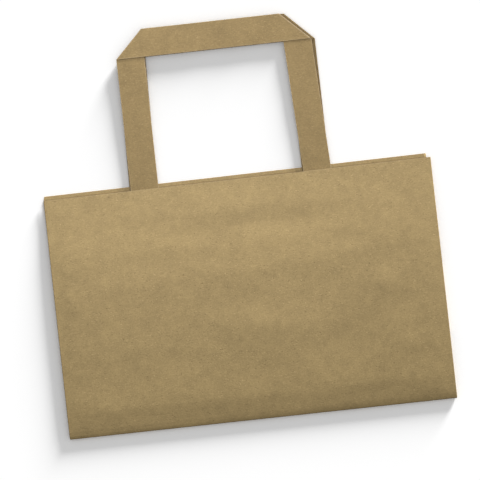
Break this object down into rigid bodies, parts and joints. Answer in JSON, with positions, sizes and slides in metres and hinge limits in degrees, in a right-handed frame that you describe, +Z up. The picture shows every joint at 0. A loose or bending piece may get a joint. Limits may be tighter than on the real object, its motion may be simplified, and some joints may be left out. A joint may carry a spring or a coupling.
{
  "type": "paper carrier bag",
  "caption": "Kraft paper carrier bag, folded flat: block bottom folded up behind, side gussets inside, flat tape handles glued inside the mouth over paper patches.",
  "frame": {"origin": "under the middle of the whole outline, handles included, on the surface that the bag lies on", "axes": "+X across the bag to the right, +Y from the bottom fold to the handles, +Z up out of the front panel"},
  "size_m": [0.32, 0.3287, 0.0055],
  "materials": {
    "kraft_sheet": "matt ribbed kraft paper",
    "kraft_tape": "matt kraft paper, folded and glued flat",
    "kraft_patch": "matt kraft paper"
  },
  "bodies": {
    "root": {"bag_body": "kraft_sheet", "front_handle": "kraft_tape", "rear_handle": "kraft_tape", "front_patch": "kraft_patch", "rear_patch": "kraft_patch"}
  },
  "joints": []
}
